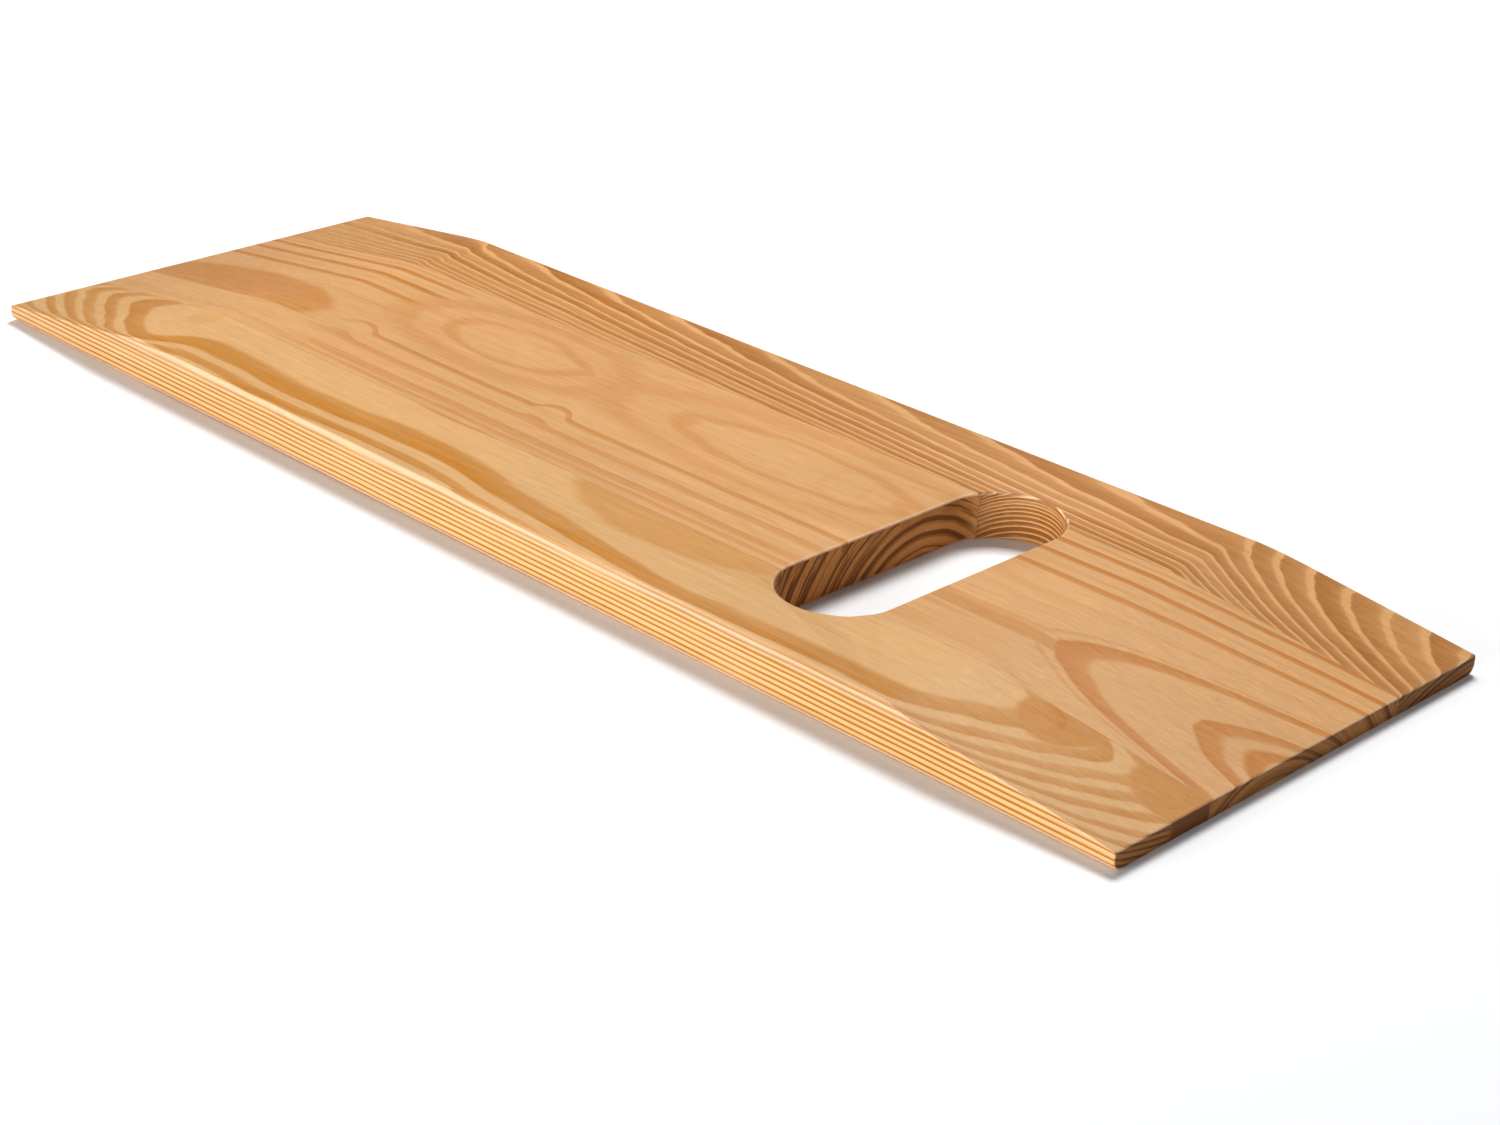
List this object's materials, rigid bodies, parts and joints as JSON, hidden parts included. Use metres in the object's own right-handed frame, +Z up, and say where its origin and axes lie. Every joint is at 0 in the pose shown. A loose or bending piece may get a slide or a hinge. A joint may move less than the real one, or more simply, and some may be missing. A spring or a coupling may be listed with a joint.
{
  "type": "transfer board",
  "caption": "Flat wooden transfer board with tapered ends, rounded long edges and a long hand hole near one end, for sliding a seated person from one seat to another.",
  "frame": {"origin": "under the middle of the board, on the surface that it lies on", "axes": "+X along the board towards the end with the hand hole, +Y across it, +Z up out of the tapered top face"},
  "size_m": [0.6096, 0.2032, 0.019],
  "materials": {
    "front_stave_wood": "satin clear lacquer over banded softwood",
    "middle_stave_wood": "satin clear lacquer over pale flat-sawn softwood",
    "back_stave_wood": "satin clear lacquer over closely banded softwood",
    "glue": "cured wood glue under clear lacquer"
  },
  "bodies": {
    "root": {"front_stave": "front_stave_wood", "middle_stave_long": "middle_stave_wood", "middle_stave_short": "middle_stave_wood", "back_stave": "back_stave_wood", "front_glue_long": "glue", "front_glue_short": "glue", "back_glue_long": "glue", "back_glue_short": "glue"}
  },
  "joints": []
}
